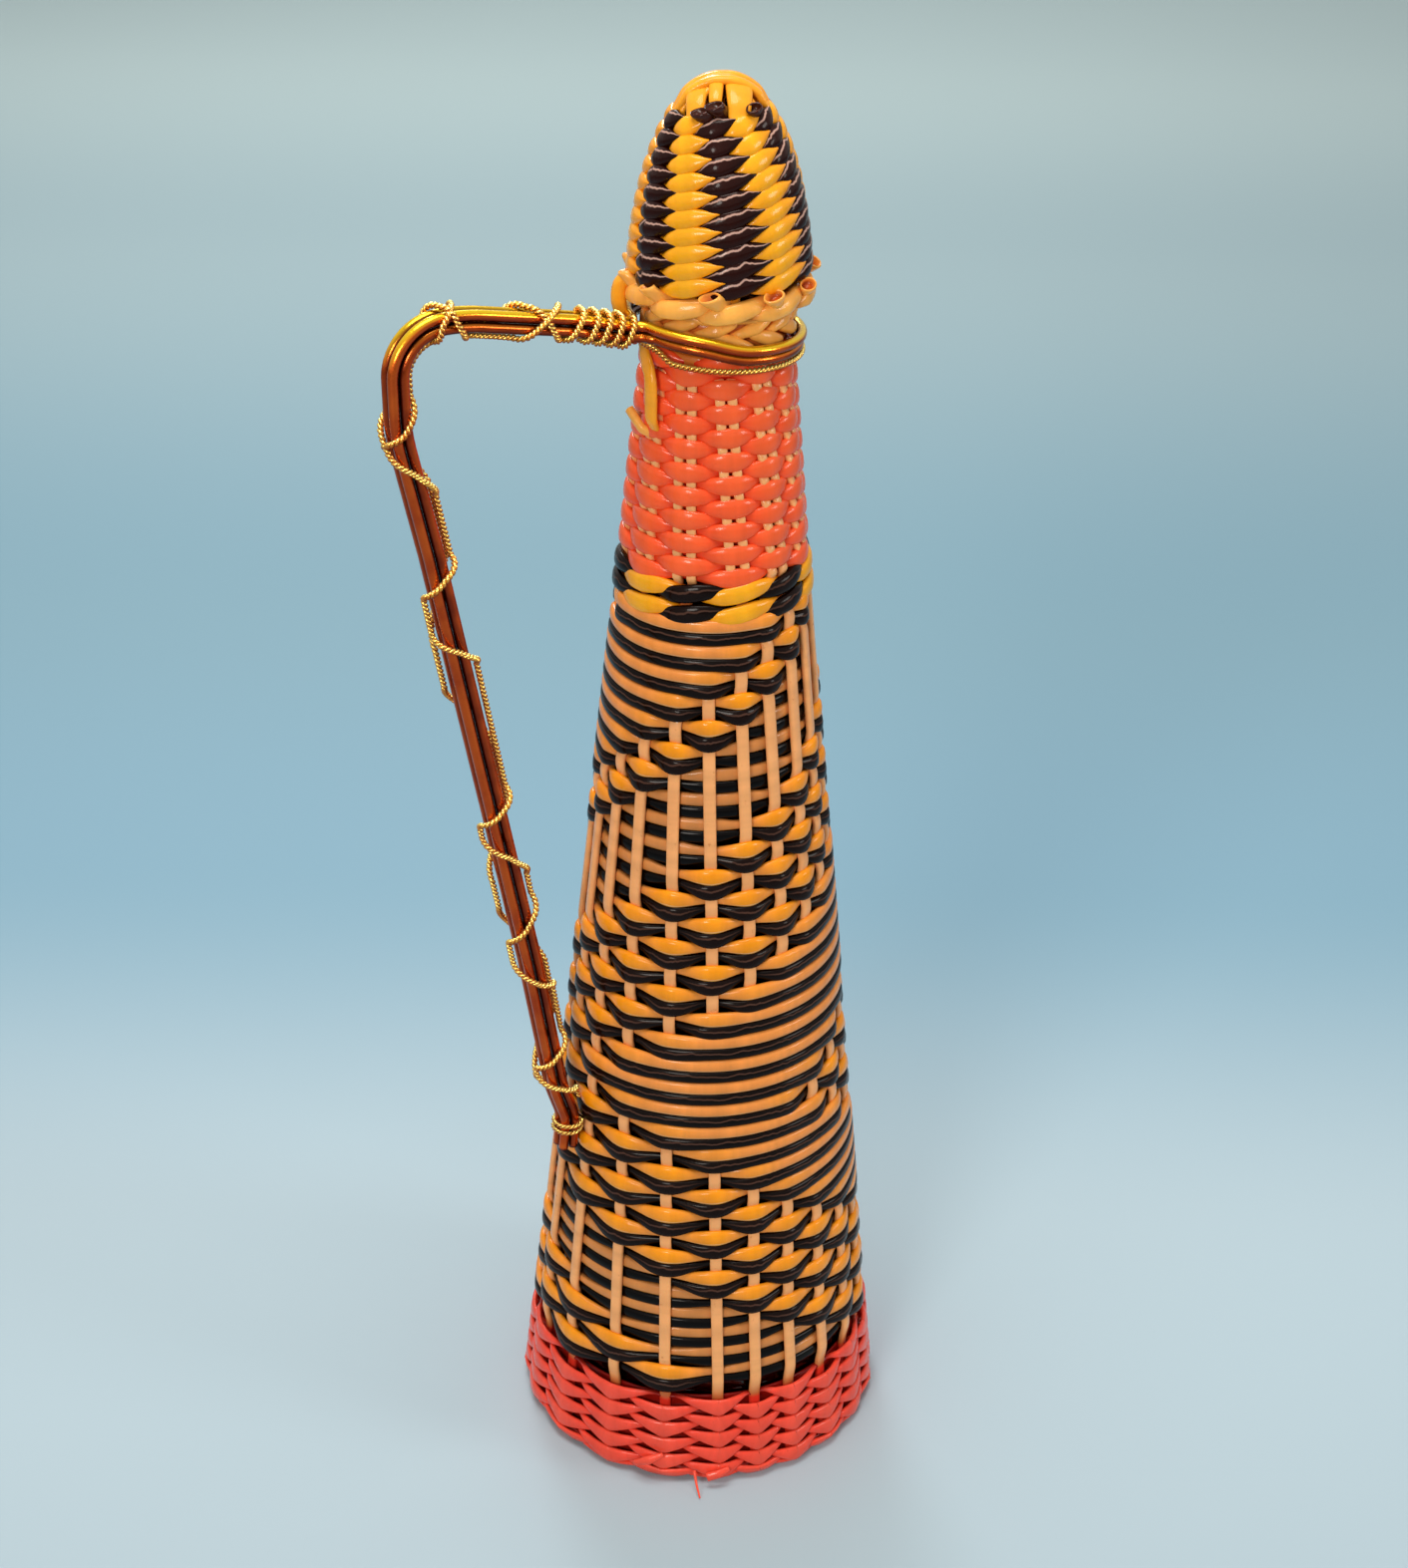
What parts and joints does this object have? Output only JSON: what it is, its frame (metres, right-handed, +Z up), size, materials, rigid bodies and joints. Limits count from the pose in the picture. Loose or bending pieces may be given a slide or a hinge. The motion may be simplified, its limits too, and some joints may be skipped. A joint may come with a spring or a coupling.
{
  "type": "woven plastic wrapped bottle",
  "caption": "Conical glass bottle in a woven plastic tube cover, with a bent wire handle, a domed woven cap on a tether and a cork.",
  "frame": {"origin": "middle of the underside, on the bottle's axis", "axes": "+Z up along the bottle, -X towards the handle, -Y towards the viewer's side"},
  "size_m": [0.1247, 0.0862, 0.3336],
  "materials": {
    "bottle_glass": "olive green bottle glass",
    "striped_tube": "soft glossy vinyl tube, orange-yellow over black",
    "yellow_tube": "soft glossy vinyl tube",
    "coral_tube": "soft glossy vinyl tube",
    "red_coral_tube": "soft glossy vinyl tube",
    "cream_tube": "soft glossy vinyl tube",
    "peach_tube": "soft satin vinyl tube",
    "orange_tube": "soft glossy vinyl tube",
    "gold_wire": "polished",
    "gold_lace": "bright twisted wire",
    "cork": "pressed cork"
  },
  "bodies": {
    "bottle": {"glass_bottle": "bottle_glass", "base_mat": "red_coral_tube", "base_weave": "red_coral_tube", "body_weave_lower": "striped_tube", "body_weave_upper": "striped_tube", "twined_band": "yellow_tube", "neck_weave": "coral_tube", "neck_border": "cream_tube", "stake_01": "peach_tube", "stake_02": "peach_tube", "stake_03": "peach_tube", "stake_04": "peach_tube", "stake_05": "peach_tube", "stake_06": "peach_tube", "stake_07": "peach_tube", "stake_08": "peach_tube", "stake_09": "peach_tube", "stake_10": "peach_tube", "stake_11": "peach_tube", "stake_12": "peach_tube", "stake_13": "peach_tube", "stake_14": "peach_tube", "stake_15": "peach_tube", "stake_16": "peach_tube", "stake_17": "peach_tube", "stake_18": "peach_tube", "stake_19": "peach_tube", "stake_20": "peach_tube", "stake_21": "peach_tube", "stake_22": "peach_tube", "handle_wire_upper": "gold_wire", "handle_wire_lower": "gold_wire", "handle_lace": "gold_lace", "neck_lace": "gold_lace", "foot_tie": "gold_lace", "tether_anchor": "orange_tube"},
    "cap": {"cap_weave": "striped_tube", "cap_rim": "cream_tube", "cap_crown": "cream_tube", "cap_stake_01": "peach_tube", "cap_stake_02": "peach_tube", "cap_stake_03": "peach_tube", "cap_stake_04": "peach_tube", "cap_stake_05": "peach_tube", "cap_stake_06": "peach_tube", "cap_stake_07": "peach_tube", "cap_stake_08": "peach_tube", "cap_stake_09": "peach_tube", "cap_stake_10": "peach_tube", "cap_stake_11": "peach_tube", "cap_stake_12": "peach_tube", "tether_loop": "orange_tube"},
    "cork": {"cork_stopper": "cork"}
  },
  "joints": [
    {"name": "cap_hinge", "type": "hinge", "parent": "bottle", "child": "cap", "pos_m": [-0.01956, 0.0104, 0.287], "axis": [-0.4695, -0.8829, 0], "range_deg": [0, 100]},
    {"name": "cork_slide", "type": "slide", "parent": "bottle", "child": "cork", "axis": [0, 0, 1], "range_m": [0, 0.017]}
  ]
}
